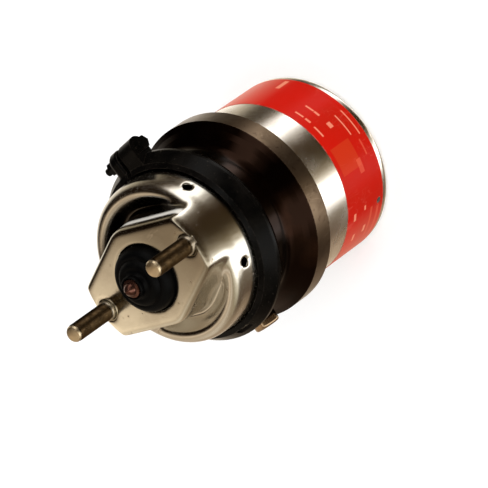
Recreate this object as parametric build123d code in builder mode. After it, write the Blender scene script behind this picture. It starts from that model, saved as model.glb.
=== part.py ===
# Spring brake actuator for a disc brake: a service chamber with its pushrod at the front,
# and a spring chamber behind it, held together by a centre housing and a clamp band.
# Millimetres. +Z runs along the axis towards the two mounting studs, and the origin is on the axis
# in the plane of the rear rim, on which the part stands. The studs lie along X, the clamp's bolt
# is on the +Y side and the air ports are on the -Y side.
# The pieces are placed as shipped: the power spring is held back by the release bolt.

import os
from math import atan2, cos, degrees, hypot, radians, sin

from build123d import *

os.makedirs("parts", exist_ok=True)

# Driving dimensions: the working parts
stroke = 57.0
stud_spacing = 120.65
stud_radius = 8.0
stud_length = 48.5
rod_radius = 8.0
rod_reach = 28.0
tube_radius = 22.0
bolt_radius = 9.0
spring_wire = 10.0
spring_height = 48.5
seat_ring = 1.5
piston_plate = 6.0

# Driving dimensions: the housings
cylinder_radius = 82.0
cylinder_wall = 4.0
ring_wall = 9.2
ring_width = 22.8
flange_radius = 84.2
flange_width = 9.7
waist_wall = 4.5
sheet = 3.0
band_sheet = 2.5
rear_floor = 10.0
hub_room = 30.8
chamber_depth = 31.2
plate_room = 35.0

# Heights above the rear rim, built up from the piston's place, its stroke and the rod's stroke
piston_top = rear_floor + seat_ring + spring_height + piston_plate
ring_top = piston_top + stroke + 4.5
ring_bottom = ring_top - ring_width
floor_height = piston_top + stroke + hub_room
clamp_height = floor_height + chamber_depth
mount_height = floor_height + stroke + plate_room

# Radii that follow the cylinder and the clamped flanges
inner_radius = cylinder_radius - cylinder_wall
ring_radius = cylinder_radius + ring_wall
bowl_radius = flange_radius - flange_width
waist_radius = bowl_radius - 2.5
band_radius = flange_radius + band_sheet + 0.8

# Clearances
seat = 0.1
running = 0.06
soft_gap = 0.3


def at_angle(degrees, radius, height):
    """A point on a circle round the axis."""
    return Vector(radius * cos(radians(degrees)), radius * sin(radians(degrees)), height)


def radial_plane(degrees, radius, height):
    """A plane that faces outwards, with its own X along the tangent and its own Y up."""
    out = at_angle(degrees, 1, 0)
    along = Vector(-out.Y, out.X, 0)
    return Plane(origin=at_angle(degrees, radius, height), x_dir=along, z_dir=out)


def tangent_plane(degrees, offset, height):
    """A plane across the tangent, with its own X pointing outwards and its own Y up."""
    out = at_angle(degrees, 1, 0)
    along = Vector(out.Y, -out.X, 0)
    return Plane(origin=along * offset + Vector(0, 0, height), x_dir=out, z_dir=along)


def save(builder, name):
    """Labels a finished piece and writes it to its own file."""
    builder.part.label = name
    export_step(builder.part, f"parts/{name}.step")


def beside(path, distance):
    """A path of (radius, height) points moved sideways by a distance, with its corners kept sharp."""
    normals = []
    for (radius, height), (next_radius, next_height) in zip(path, path[1:]):
        length = hypot(next_radius - radius, next_height - height)
        normals.append(((height - next_height) / length, (next_radius - radius) / length))
    moved = []
    for (radius, height), before, after in zip(path, normals[:1] + normals, normals + normals[-1:]):
        share = distance / (1 + before[0] * after[0] + before[1] * after[1])
        moved.append((radius + (before[0] + after[0]) * share, height + (before[1] + after[1]) * share))
    return moved


# The flanges under the clamp band. Both have a sloping side, so that the band pulls them together
bowl_foot = clamp_height + 13.0
flank_top = clamp_height + 6.2
flank_bend = bowl_radius + 4.5
bend_fall = 2.3
flank_fall = 8.8
joint_height = clamp_height - 8.0
rear_flank = clamp_height - 11.4
rear_slope = 0.3


def front_flank_at(radius):
    """Height of the front flange's outer face at a radius: a short shoulder, then a steep flank."""
    shoulder = flank_top - bend_fall * (radius - bowl_radius) / (flank_bend - bowl_radius)
    flank = flank_top - bend_fall - flank_fall * (radius - flank_bend) / (flange_radius - flank_bend)
    return min(shoulder, flank)


def rear_flank_at(radius):
    """Height of the rear side of the centre housing's flange at a radius."""
    return rear_flank - rear_slope * (flange_radius - radius)


front_flange = [
    (bowl_radius, bowl_foot),
    (bowl_radius, flank_top),
    (flank_bend, front_flank_at(flank_bend)),
    (flange_radius, front_flank_at(flange_radius)),
]

# Front housing: one pressed sheet. A round bowl with a low shoulder, and a raised pad for the studs
pad_end_radius = stud_spacing / 2 + 9.5
pad_half_width = 47.5
pad_side_fall = 0.33
pad_draft = 4.5
pad_corner_radius = 5.0
pad_waist_radius = 25.0
pad_edge_radius = 3.0
shoulder_height = mount_height - 25.3
valley_height = mount_height - 35.8
valley_radius = bowl_radius - 22.5
shoulder_inner = bowl_radius - 12.5
shoulder_outer = bowl_radius - 1.0
shoulder_round = 8.0
boot_hole_radius = 29.5
vent_hole_radius = 4.0
vent_hole_height = clamp_height + 20.0
collar_radius = 8.8
vent_hole_angles = (32, -32, 148, -148)


def pressed_form(inset):
    """The solid inside the sheet's outer face, or inside its inner face when inset is the sheet."""
    miter = 0.4 * inset
    outer_miter = 0.95 * inset
    with BuildPart() as form:
        with BuildSketch(Plane.XZ):
            with BuildLine():
                Polyline(
                    (0, bowl_foot),
                    (0, valley_height - inset),
                    (valley_radius + miter, valley_height - inset),
                    (shoulder_inner + miter, shoulder_height - inset),
                    (shoulder_outer - outer_miter, shoulder_height - inset),
                    (bowl_radius - inset, bowl_foot),
                    close=True,
                )
            make_face()
            corners = [v for v in vertices() if v.X > 1 and v.Y > bowl_foot + 1]
            fillet(corners, shoulder_round - inset)
        revolve(axis=Axis.Z)
        with BuildSketch(Plane.XY.offset(mount_height - inset)):
            far = pad_end_radius * 1.3
            with BuildLine():
                Polyline(
                    (0, pad_half_width - inset),
                    (far, pad_half_width - inset - far * pad_side_fall),
                    (far, -pad_half_width + inset + far * pad_side_fall),
                    (0, -pad_half_width + inset),
                    (-far, -pad_half_width + inset + far * pad_side_fall),
                    (-far, pad_half_width - inset - far * pad_side_fall),
                    close=True,
                )
            make_face()
            Circle(pad_end_radius - inset, mode=Mode.INTERSECT)
            middle = [v for v in vertices() if abs(v.X) < 1]
            fillet(middle, pad_waist_radius - inset)
            ends = [v for v in vertices() if abs(v.X) > pad_end_radius * 0.8]
            fillet(ends, pad_corner_radius - inset)
        extrude(amount=mount_height - inset - bowl_foot - 1, dir=(0, 0, -1), taper=-pad_draft)
        top_edges = form.faces().sort_by(Axis.Z)[-1].edges()
        fillet(top_edges, max(pad_edge_radius - inset, 1.0))
    return form.part


with BuildPart() as front_housing:
    add(pressed_form(0))
    add(pressed_form(sheet), mode=Mode.SUBTRACT)
    with BuildSketch(Plane.XZ):
        with BuildLine():
            Polyline(*front_flange, *reversed(beside(front_flange, -sheet)), close=True)
        make_face()
    revolve(axis=Axis.Z)
    with BuildSketch(Plane.XY.offset(mount_height - sheet - 0.5)):
        Circle(boot_hole_radius)
        with Locations((stud_spacing / 2, 0), (-stud_spacing / 2, 0)):
            Circle(collar_radius + seat)
    extrude(amount=sheet + 1, mode=Mode.SUBTRACT)
    for angle in vent_hole_angles:
        with BuildSketch(radial_plane(angle, bowl_radius - 12, vent_hole_height)):
            Circle(vent_hole_radius)
        extrude(amount=24, mode=Mode.SUBTRACT)
save(front_housing, "front_housing")

# Mounting studs: a collar through the sheet, and a flat-sided head inside that stops them from turning
collar_height = 2.5
collar_chamfer = 0.5
stud_head_radius = 12.5
stud_head_height = 5.0
stud_flat = pad_end_radius - sheet - 1.8
stud_tip_chamfer = 1.5
inner_top = mount_height - sheet
with BuildPart() as mounting_studs:
    for side in (1, -1):
        with BuildSketch(Plane.XY.offset(inner_top)):
            with Locations((side * stud_spacing / 2, 0)):
                Circle(stud_radius)
        extrude(amount=stud_length + sheet)
        with BuildSketch(Plane.XY.offset(inner_top)):
            with Locations((side * stud_spacing / 2, 0)):
                Circle(collar_radius)
        extrude(amount=sheet + collar_height)
        with BuildSketch(Plane.XY.offset(inner_top - stud_head_height)):
            with Locations((side * stud_spacing / 2, 0)):
                Circle(stud_head_radius)
            Circle(stud_flat, mode=Mode.INTERSECT)
        extrude(amount=stud_head_height)
    tips = mounting_studs.faces().sort_by(Axis.Z)[-2:].edges()
    chamfer(tips, stud_tip_chamfer)
    collar_top = mount_height + collar_height
    rims = mounting_studs.edges().filter_by(GeomType.CIRCLE)
    rims = rims.filter_by_position(Axis.Z, collar_top - seat, collar_top + seat)
    chamfer([e for e in rims if e.radius > stud_radius + seat], collar_chamfer)
save(mounting_studs, "mounting_studs")

# Boot retainer: a flat ring that holds the boot's rim against the inside of the front wall
retainer_thick = 1.5
boot_rim = 1.8
retainer_top = inner_top - boot_rim - seat
retainer_bottom = retainer_top - retainer_thick
retainer_inner = boot_hole_radius - 2.5
retainer_outer = 38.0
with BuildPart() as boot_retainer:
    with BuildSketch(Plane.XY.offset(retainer_bottom)):
        Circle(retainer_outer)
        Circle(retainer_inner, mode=Mode.SUBTRACT)
    extrude(amount=retainer_thick)
    with BuildSketch(Plane.XY.offset(retainer_top)):
        Circle(retainer_outer)
        Circle(retainer_outer - 2, mode=Mode.SUBTRACT)
    extrude(amount=boot_rim + seat)
save(boot_retainer, "boot_retainer")

# Rubber boot: a rim, one outward fold that bulges through the hole, and a neck on the rod
boot_wall = 2.0
neck_top = mount_height + rod_reach - 6.5
neck_outer = rod_radius + 3.2
fold_top = mount_height + 13.5
fold_radius = 20.5
throat = boot_hole_radius - soft_gap
with BuildPart() as rubber_boot:
    with BuildSketch(Plane.XZ):
        with BuildLine():
            Polyline(
                (retainer_outer - 2.1, inner_top - boot_rim),
                (retainer_outer - 2.1, inner_top - seat / 2),
                (throat, inner_top - seat / 2),
                (throat, mount_height + 4),
                (fold_radius + 4.5, fold_top - 2),
                (fold_radius, fold_top),
                (fold_radius - 4.5, fold_top - 2),
                (neck_outer + 1.5, mount_height + 7),
                (neck_outer, mount_height + 10),
                (neck_outer, neck_top),
                (rod_radius + seat / 2, neck_top),
                (rod_radius + seat / 2, mount_height + 4.5),
                (neck_outer, mount_height + 4.5),
                (fold_radius - 3.5, fold_top - 4.6),
                (fold_radius, fold_top - boot_wall),
                (fold_radius + 3.0, fold_top - 4),
                (throat - boot_wall, mount_height + 3),
                (throat - boot_wall, inner_top - boot_rim),
                close=True,
            )
        make_face()
    revolve(axis=Axis.Z)
save(rubber_boot, "rubber_boot")

# Pushrod: a plain rod with a small domed end that pushes the brake lever
plate_bottom = floor_height + 4.1
plate_thick = 3.5
plate_top = plate_bottom + plate_thick
tip_radius = 5.8
rod_top = mount_height + rod_reach
with BuildPart() as pushrod:
    with BuildSketch(Plane.XZ):
        with BuildLine():
            Polyline(
                (0, rod_top - tip_radius),
                (0, plate_top),
                (rod_radius + 2.5, plate_top),
                (rod_radius, plate_top + 2.5),
                (rod_radius, neck_top),
                (tip_radius, rod_top - tip_radius),
                close=True,
            )
        make_face()
        with Locations((0, rod_top - tip_radius)):
            Circle(tip_radius)
        with Locations((-tip_radius, rod_top - tip_radius)):
            Rectangle(tip_radius * 2, tip_radius * 4, mode=Mode.SUBTRACT)
    revolve(axis=Axis.Z)
save(pushrod, "pushrod")

# Push plate: a pressed disc with a turned-up rim
plate_radius = 38.0
plate_rim = 4.0
with BuildPart() as push_plate:
    with BuildSketch(Plane.XZ):
        with BuildLine():
            Polyline(
                (0, plate_bottom),
                (plate_radius, plate_bottom),
                (plate_radius + 3, plate_bottom + plate_rim + 1),
                (plate_radius + 3, plate_top + plate_rim),
                (plate_radius, plate_top + plate_rim),
                (plate_radius - 3, plate_top),
                (0, plate_top),
                close=True,
            )
        make_face()
    revolve(axis=Axis.Z)
save(push_plate, "push_plate")

# Return spring: a conical coil from the push plate to the boot retainer. The springs' wire is drawn
# with eight sides, which is near enough to round for a coil that is never seen
wire_sides = 8
return_wire = 4.5
return_big = 34.0
return_small = 30.0
return_bottom = plate_top + return_wire / 2 + soft_gap
return_rise = retainer_bottom - return_wire / 2 - soft_gap - return_bottom
return_turns = 5.5
with BuildPart() as return_spring:
    with BuildLine():
        coil = Helix(
            pitch=return_rise / return_turns,
            height=return_rise,
            radius=return_big,
            center=(0, 0, return_bottom),
            cone_angle=-degrees(atan2(return_big - return_small, return_rise)),
        )
    with BuildSketch(Plane(origin=coil @ 0, z_dir=coil % 0)):
        RegularPolygon(return_wire / 2, wire_sides)
    sweep(path=coil, is_frenet=True)
save(return_spring, "return_spring")

# Centre housing: one casting with the front flange, the waist, the dividing wall and the rear ring
skirt_inner = cylinder_radius + 0.15
skirt_stop = ring_top - 3.5
waist_bottom = ring_top + 12.5
waist_round = 9.0
ring_round = 3.0
wall_bottom = floor_height - 7.8
hub_bottom = ring_top + 0.6
hub_radius = 34.0
service_inner = waist_radius - waist_wall
bore_radius = tube_radius + 0.5
bush_outer = tube_radius + 3.0
bush_height = 12.0
seal_outer = tube_radius + 3.5
seal_heights = ((hub_bottom + 14.0, 4.0), (hub_bottom + 19.5, 3.0))
ring_groove_height = ring_bottom + 3.3
ring_groove_width = 3.0
ring_groove_depth = 1.8
oring_height = ring_bottom + 10.3
oring_width = 4.0
oring_depth = 2.5
port_radius = 7.2
port_depth = 16.0
boss_radius = 11.5
boss_round = 2.5
boss_reach = band_radius + 5.0
service_port = (-95.0, floor_height + 2.6)
spring_port = (-133.0, ring_top + 13.5)
with BuildPart() as centre_housing:
    with BuildSketch(Plane.XZ):
        with BuildLine():
            Polyline(
                (service_inner, joint_height),
                (flange_radius, joint_height),
                (flange_radius, rear_flank),
                (waist_radius + 2, rear_flank_at(waist_radius + 2)),
                (waist_radius, rear_flank_at(waist_radius) - 3),
                (waist_radius, waist_bottom),
                (waist_radius + 10, ring_top + 5),
                (ring_radius - 5, ring_top + 1.5),
                (ring_radius, ring_top - 2),
                (ring_radius, ring_bottom + 2),
                (ring_radius - 2, ring_bottom),
                (skirt_inner, ring_bottom),
                (skirt_inner, skirt_stop),
                (waist_radius + 2, skirt_stop),
                (service_inner - 2, waist_bottom - 6),
                (service_inner - 2, wall_bottom),
                (hub_radius + 2, wall_bottom),
                (hub_radius, hub_bottom),
                (bore_radius, hub_bottom),
                (bore_radius, floor_height),
                (service_inner - 11.3, floor_height),
                (service_inner, floor_height + 10.7),
                close=True,
            )
        make_face()
        outside = [v for v in vertices() if v.X > service_inner + 1]
        fillet([v for v in outside if abs(v.Y - waist_bottom) < 1], waist_round)
        fillet([v for v in outside if abs(v.Y - ring_top + 2) < 1], ring_round)
    revolve(axis=Axis.Z)
    for angle, height in (service_port, spring_port):
        with BuildSketch(radial_plane(angle, service_inner + 1, height)):
            Circle(boss_radius)
        extrude(amount=boss_reach - service_inner - 1)
        outer_edge = centre_housing.edges().filter_by(GeomType.CIRCLE).sort_by_distance(
            at_angle(angle, boss_reach, height))[0]
        fillet(outer_edge, boss_round)
    for angle, height in (service_port, spring_port):
        with BuildSketch(radial_plane(angle, boss_reach - port_depth, height)):
            Circle(port_radius)
        extrude(amount=port_depth + 1, mode=Mode.SUBTRACT)
        with BuildSketch(radial_plane(angle, service_inner - 12, height)):
            Circle(4)
        extrude(amount=boss_reach - service_inner, mode=Mode.SUBTRACT)
    with BuildSketch(Plane.XY.offset(hub_bottom)):
        Circle(bush_outer)
    extrude(amount=bush_height + seat, mode=Mode.SUBTRACT)
    for height, width in seal_heights:
        with BuildSketch(Plane.XY.offset(height)):
            Circle(seal_outer)
        extrude(amount=width, mode=Mode.SUBTRACT)
    with BuildSketch(Plane.XY.offset(ring_groove_height)):
        Circle(skirt_inner + ring_groove_depth)
    extrude(amount=ring_groove_width, mode=Mode.SUBTRACT)
    with BuildSketch(Plane.XY.offset(oring_height)):
        Circle(skirt_inner + oring_depth)
    extrude(amount=oring_width, mode=Mode.SUBTRACT)
save(centre_housing, "centre_housing")

# Diaphragm: a rubber cup with a thick rim between the flanges, lying back against the dividing wall
rubber = 3.2
cup_outer = service_inner - soft_gap
cup_bottom = floor_height + 0.6
bead_inner = bowl_radius - 1.5
bead_face = beside(front_flange, -sheet - seat)
with BuildPart() as diaphragm:
    with BuildSketch(Plane.XZ):
        with BuildLine():
            Polyline(
                (0, cup_bottom),
                (cup_outer - 11.3, cup_bottom),
                (cup_outer, cup_bottom + 10.7),
                (cup_outer, joint_height),
                (flange_radius - 0.2, joint_height),
                (flange_radius - 0.2, bead_face[3][1] - seat),
                bead_face[3],
                bead_face[2],
                (bead_inner + 1, bead_face[2][1] - 1),
                (bead_inner, joint_height + rubber),
                (cup_outer - 1.0, joint_height + rubber),
                (cup_outer - rubber, joint_height + 1),
                (cup_outer - rubber, cup_bottom + 12.0),
                (cup_outer - 12.6, cup_bottom + rubber),
                (0, cup_bottom + rubber),
                close=True,
            )
        make_face()
    revolve(axis=Axis.Z)
save(diaphragm, "diaphragm")

# Clamp band: one strip that grips both flanges, split at the lug, with two ears for its bolt and a
# slot through which the front flange shows
lip = bowl_radius + 0.8
rear_lip = bowl_radius + 2.5
channel = band_radius - band_sheet
lug_angle = 91.0
lug_height = clamp_height - 4.0
ear_radius = 9.5
ear_chamfer = 1.2
bolt_ring = band_radius + 5.2
left_ear = (-8.5, 2.5)
right_ear = (7.5, 24.5)
clamp_bolt_radius = 3.5
window_angle = -91.0
window_middle = clamp_height + 3.0
window_length = 18.0
window_height = 6.0
band_line = [(radius, front_flank_at(radius)) for radius in (lip, flank_bend, channel)]
band_inside = beside(band_line, seat)
band_outside = beside(band_line, seat + band_sheet)
rear_leg = rear_flank - seat - band_sheet
with BuildPart() as clamp_band:
    for start, stop in (left_ear, right_ear):
        with BuildSketch(tangent_plane(lug_angle, start, lug_height)):
            with Locations((bolt_ring, 0)):
                Circle(ear_radius)
            with Locations(((bolt_ring + waist_radius) / 2, 0)):
                Rectangle(bolt_ring - waist_radius, ear_radius * 2)
        extrude(amount=stop - start)
        ends = clamp_band.edges().filter_by(GeomType.CIRCLE).filter_by(lambda edge: edge.radius > 1)
        chamfer(ends.sort_by_distance(at_angle(lug_angle, bolt_ring * 2, lug_height))[:2], ear_chamfer)
    with BuildSketch(Plane.XZ):
        with BuildLine():
            Polyline(
                (0, bowl_foot),
                (lip, bowl_foot),
                *band_outside,
                (band_radius, rear_flank),
                (rear_lip, rear_flank_at(rear_lip) - seat - band_sheet),
                (rear_lip, rear_flank - ear_radius),
                (0, rear_flank - ear_radius),
                close=True,
            )
        make_face()
    revolve(axis=Axis.Z, mode=Mode.SUBTRACT)
    with BuildSketch(Plane.XZ):
        with BuildLine():
            Polyline(
                *band_outside,
                (band_radius, band_outside[-1][1] - 1),
                (band_radius, rear_flank + 2.6),
                (channel, rear_leg + 0.4),
                (flange_radius, rear_leg),
                (rear_lip, rear_flank_at(rear_lip) - seat - band_sheet),
                (rear_lip, rear_flank_at(rear_lip) - seat),
                (flange_radius + 0.2, rear_flank - seat),
                (channel, rear_flank + 1),
                *reversed(band_inside),
                close=True,
            )
        make_face()
    revolve(axis=Axis.Z)
    with BuildSketch(tangent_plane(lug_angle, left_ear[1], lug_height)):
        with Locations((band_radius, 0)):
            Rectangle(ear_radius * 5, band_radius / 2)
    extrude(amount=right_ear[0] - left_ear[1], mode=Mode.SUBTRACT)
    with BuildSketch(tangent_plane(lug_angle, left_ear[0] - 1, lug_height)):
        with Locations((bolt_ring, 0)):
            Circle(clamp_bolt_radius + 0.4)
    extrude(amount=right_ear[1] - left_ear[0] + 2, mode=Mode.SUBTRACT)
    with BuildSketch(radial_plane(window_angle, band_radius - 12, window_middle)):
        RectangleRounded(window_length, window_height, 2)
    extrude(amount=24, mode=Mode.SUBTRACT)
save(clamp_band, "clamp_band")

# Clamp bolt with its hex head, nut and washer
head_thick = 7.5
head_across = 11.0
washer_thick = 1.6
washer_radius = 5.4
nut_thick = 6.5
bolt_tail = 6.0
with BuildPart() as clamp_bolt:
    with BuildSketch(tangent_plane(lug_angle, right_ear[1], lug_height)):
        with Locations((bolt_ring, 0)):
            RegularPolygon(head_across / 2, 6, major_radius=False, rotation=30)
    extrude(amount=head_thick)
    with BuildSketch(tangent_plane(lug_angle, right_ear[1], lug_height)):
        with Locations((bolt_ring, 0)):
            Circle(clamp_bolt_radius)
    extrude(amount=-(right_ear[1] - left_ear[0] + washer_thick + nut_thick + bolt_tail))
save(clamp_bolt, "clamp_bolt")

with BuildPart() as clamp_washer:
    with BuildSketch(tangent_plane(lug_angle, left_ear[0] - washer_thick, lug_height)):
        with Locations((bolt_ring, 0)):
            Circle(washer_radius)
            Circle(clamp_bolt_radius + 0.3, mode=Mode.SUBTRACT)
    extrude(amount=washer_thick)
save(clamp_washer, "clamp_washer")

with BuildPart() as clamp_nut:
    with BuildSketch(tangent_plane(lug_angle, left_ear[0] - washer_thick - nut_thick, lug_height)):
        with Locations((bolt_ring, 0)):
            RegularPolygon(head_across / 2, 6, major_radius=False, rotation=30)
            Circle(clamp_bolt_radius + seat, mode=Mode.SUBTRACT)
    extrude(amount=nut_thick)
save(clamp_nut, "clamp_nut")

# Guide bush and seals for the piston tube, in the hub of the dividing wall
with BuildPart() as tube_bush:
    with BuildSketch(Plane.XY.offset(hub_bottom)):
        Circle(bush_outer)
        Circle(tube_radius + running, mode=Mode.SUBTRACT)
    extrude(amount=bush_height)
save(tube_bush, "tube_bush")

with BuildPart() as tube_seals:
    for height, width in seal_heights:
        with BuildSketch(Plane.XY.offset(height + seat)):
            Circle(seal_outer)
            Circle(tube_radius + running, mode=Mode.SUBTRACT)
        extrude(amount=width - 2 * seat)
save(tube_seals, "tube_seals")

# Rear cylinder: a turned aluminium pot with a thick rear wall and a pocket for the release bolt
rear_round = 8.0
rim_inner = cylinder_radius - 30.0
dish = 3.5
pocket_radius = 19.0
pocket_depth = 14.0
wall_hub_top = 22.0
wall_hub_radius = 24.0
bolt_bore = bolt_radius + 0.3
bolt_groove_height = 16.5
bolt_groove_width = 3.0
bolt_groove_radius = 12.0
vent_angle = -50.0
vent_height = 17.5
vent_radius = 2.0
with BuildPart() as rear_cylinder:
    with BuildSketch(Plane.XZ):
        with BuildLine():
            Polyline(
                (inner_radius, skirt_stop),
                (inner_radius, rear_floor + 6),
                (inner_radius - 6, rear_floor),
                (wall_hub_radius + 2, rear_floor),
                (wall_hub_radius, wall_hub_top),
                (bolt_bore, wall_hub_top),
                (bolt_bore, bolt_groove_height + bolt_groove_width),
                (bolt_groove_radius, bolt_groove_height + bolt_groove_width),
                (bolt_groove_radius, bolt_groove_height),
                (bolt_bore, bolt_groove_height),
                (bolt_bore, pocket_depth),
                (pocket_radius, pocket_depth),
                (pocket_radius, dish),
                (rim_inner - dish, dish),
                (rim_inner, 0),
                (cylinder_radius, 0),
                (cylinder_radius, ring_groove_height),
                (cylinder_radius - 1.4, ring_groove_height),
                (cylinder_radius - 1.4, ring_groove_height + ring_groove_width),
                (cylinder_radius, ring_groove_height + ring_groove_width),
                (cylinder_radius, skirt_stop),
                close=True,
            )
        make_face()
        rear_corner = [v for v in vertices() if v.X > cylinder_radius - 1 and v.Y < 1]
        fillet(rear_corner, rear_round)
    revolve(axis=Axis.Z)
    with BuildSketch(radial_plane(vent_angle, inner_radius - 3, vent_height)):
        Circle(vent_radius)
    extrude(amount=cylinder_wall + 6, mode=Mode.SUBTRACT)
save(rear_cylinder, "rear_cylinder")

with BuildPart() as vent_plug:
    with BuildSketch(radial_plane(vent_angle, inner_radius + 1, vent_height)):
        Circle(vent_radius - seat)
    extrude(amount=cylinder_wall - 0.5)
save(vent_plug, "vent_plug")

with BuildPart() as cylinder_seal:
    with BuildSketch(Plane.XY.offset(oring_height + seat)):
        Circle(skirt_inner + oring_depth - seat)
        Circle(cylinder_radius + seat / 2, mode=Mode.SUBTRACT)
    extrude(amount=oring_width - 2 * seat)
save(cylinder_seal, "cylinder_seal")

with BuildPart() as retaining_ring:
    with BuildSketch(Plane.XZ):
        with Locations(((cylinder_radius + skirt_inner + ring_groove_depth - 1.4) / 2,
                        ring_groove_height + ring_groove_width / 2)):
            Rectangle(skirt_inner + ring_groove_depth - cylinder_radius + 1.4 - 2 * seat,
                      ring_groove_width - 2 * seat)
    revolve(axis=Axis.Z, revolution_arc=350)
save(retaining_ring, "retaining_ring")

# Label foil wrapped round the rear cylinder
label_bottom = 11.0
label_top = 65.5
label_arc = 220.0
foil = 0.25
with BuildPart() as label_foil:
    with BuildSketch(Plane.XZ.rotated((0, 0, -label_arc / 2))):
        with Locations((cylinder_radius + foil / 2 + 0.01, (label_bottom + label_top) / 2)):
            Rectangle(foil, label_top - label_bottom)
    revolve(axis=Axis.Z, revolution_arc=label_arc)
    with BuildSketch(radial_plane(vent_angle, inner_radius, vent_height)):
        Circle(vent_radius + 1)
    extrude(amount=cylinder_wall + 4, mode=Mode.SUBTRACT)
save(label_foil, "label_foil")

# Spring piston: a deep disc with a skirt for its seal and guide, and a spigot for the tube
piston_radius = inner_radius - 0.5
skirt_wall = 6.5
skirt_bottom = piston_top - 22.0
groove_inner = piston_radius - 3.0
seal_groove = (piston_top - 9.0, 4.0)
guide_groove = (piston_top - 18.0, 4.0)
tube_wall = 3.0
tube_inner = tube_radius - tube_wall
spigot_top = piston_top + 18.0
nut_across = 24.0
nut_seat = piston_top + 2.0
with BuildPart() as spring_piston:
    with BuildSketch(Plane.XZ):
        with BuildLine():
            Polyline(
                (bolt_radius + 0.6, piston_top - piston_plate - 8),
                (wall_hub_radius, piston_top - piston_plate - 8),
                (wall_hub_radius + 3, piston_top - piston_plate),
                (piston_radius - skirt_wall - 2, piston_top - piston_plate),
                (piston_radius - skirt_wall, piston_top - piston_plate - 2),
                (piston_radius - skirt_wall, skirt_bottom),
                (piston_radius, skirt_bottom),
                (piston_radius, piston_top - 2),
                (piston_radius - 2, piston_top),
                (tube_inner - seat, piston_top),
                (tube_inner - seat, spigot_top),
                (bolt_radius + 0.6, spigot_top),
                close=True,
            )
        make_face()
    revolve(axis=Axis.Z)
    for height, width in (seal_groove, guide_groove):
        with BuildSketch(Plane.XY.offset(height)):
            Circle(piston_radius + 1)
            Circle(groove_inner, mode=Mode.SUBTRACT)
        extrude(amount=width, mode=Mode.SUBTRACT)
    with BuildSketch(Plane.XY.offset(nut_seat)):
        RegularPolygon(nut_across / 2 + seat, 6, major_radius=False)
    extrude(amount=spigot_top - nut_seat, mode=Mode.SUBTRACT)
save(spring_piston, "spring_piston")

with BuildPart() as piston_seal:
    with BuildSketch(Plane.XY.offset(seal_groove[0] + seat)):
        Circle(inner_radius - seat)
        Circle(groove_inner + seat, mode=Mode.SUBTRACT)
    extrude(amount=seal_groove[1] - 2 * seat)
save(piston_seal, "piston_seal")

with BuildPart() as piston_guide:
    with BuildSketch(Plane.XY.offset(guide_groove[0] + seat)):
        Circle(inner_radius - running)
        Circle(groove_inner + seat, mode=Mode.SUBTRACT)
    extrude(amount=guide_groove[1] - 2 * seat)
save(piston_guide, "piston_guide")

# Piston tube, which slides through the dividing wall, and the plug that pushes the diaphragm
plug_flange = 4.0
tube_top = floor_height + 0.2 - plug_flange
with BuildPart() as piston_tube:
    with BuildSketch(Plane.XY.offset(piston_top)):
        Circle(tube_radius)
        Circle(tube_inner, mode=Mode.SUBTRACT)
    extrude(amount=tube_top - piston_top)
save(piston_tube, "piston_tube")

with BuildPart() as tube_end_plug:
    with BuildSketch(Plane.XY.offset(tube_top - 10)):
        Circle(tube_inner - seat)
    extrude(amount=10)
    with BuildSketch(Plane.XY.offset(tube_top)):
        Circle(tube_radius - 0.2)
    extrude(amount=plug_flange)
save(tube_end_plug, "tube_end_plug")

# Release bolt: its head sits in the rear wall, and its long thread carries the nut inside the piston
nut_height = 14.0
bolt_head_across = 24.0
bolt_head_bottom = 1.6
bolt_washer = 1.4
bolt_head_top = pocket_depth - bolt_washer
bolt_top = nut_seat + nut_height + stroke - 3
lock_groove = wall_hub_top + 0.3
lock_thick = 1.6
with BuildPart() as release_bolt:
    with BuildSketch(Plane.XY.offset(bolt_head_bottom)):
        RegularPolygon(bolt_head_across / 2, 6, major_radius=False)
    extrude(amount=bolt_head_top - bolt_head_bottom)
    with BuildSketch(Plane.XY.offset(bolt_head_top)):
        Circle(bolt_radius)
    extrude(amount=bolt_top - bolt_head_top)
    chamfer(release_bolt.faces().sort_by(Axis.Z)[-1].edges(), 1.5)
    with BuildSketch(Plane.XY.offset(lock_groove)):
        Circle(bolt_radius + 1)
        Circle(bolt_radius - 1, mode=Mode.SUBTRACT)
    extrude(amount=lock_thick, mode=Mode.SUBTRACT)
save(release_bolt, "release_bolt")

with BuildPart() as bolt_thrust_washer:
    with BuildSketch(Plane.XY.offset(bolt_head_top)):
        Circle(pocket_radius - 0.5)
        Circle(bolt_radius + 0.3, mode=Mode.SUBTRACT)
    extrude(amount=bolt_washer)
save(bolt_thrust_washer, "bolt_thrust_washer")

with BuildPart() as bolt_seal:
    with BuildSketch(Plane.XY.offset(bolt_groove_height + seat)):
        Circle(bolt_groove_radius - seat)
        Circle(bolt_radius + running, mode=Mode.SUBTRACT)
    extrude(amount=bolt_groove_width - 2 * seat)
save(bolt_seal, "bolt_seal")

with BuildPart() as bolt_lock_ring:
    with BuildSketch(Plane.XY.offset(lock_groove + seat / 2)):
        Circle(bolt_radius + 3)
        Circle(bolt_radius - 0.95, mode=Mode.SUBTRACT)
    extrude(amount=lock_thick - seat)
save(bolt_lock_ring, "bolt_lock_ring")

with BuildPart() as release_nut:
    with BuildSketch(Plane.XY.offset(nut_seat)):
        RegularPolygon(nut_across / 2, 6, major_radius=False)
        Circle(bolt_radius + running, mode=Mode.SUBTRACT)
    extrude(amount=nut_height)
save(release_nut, "release_nut")

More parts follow.
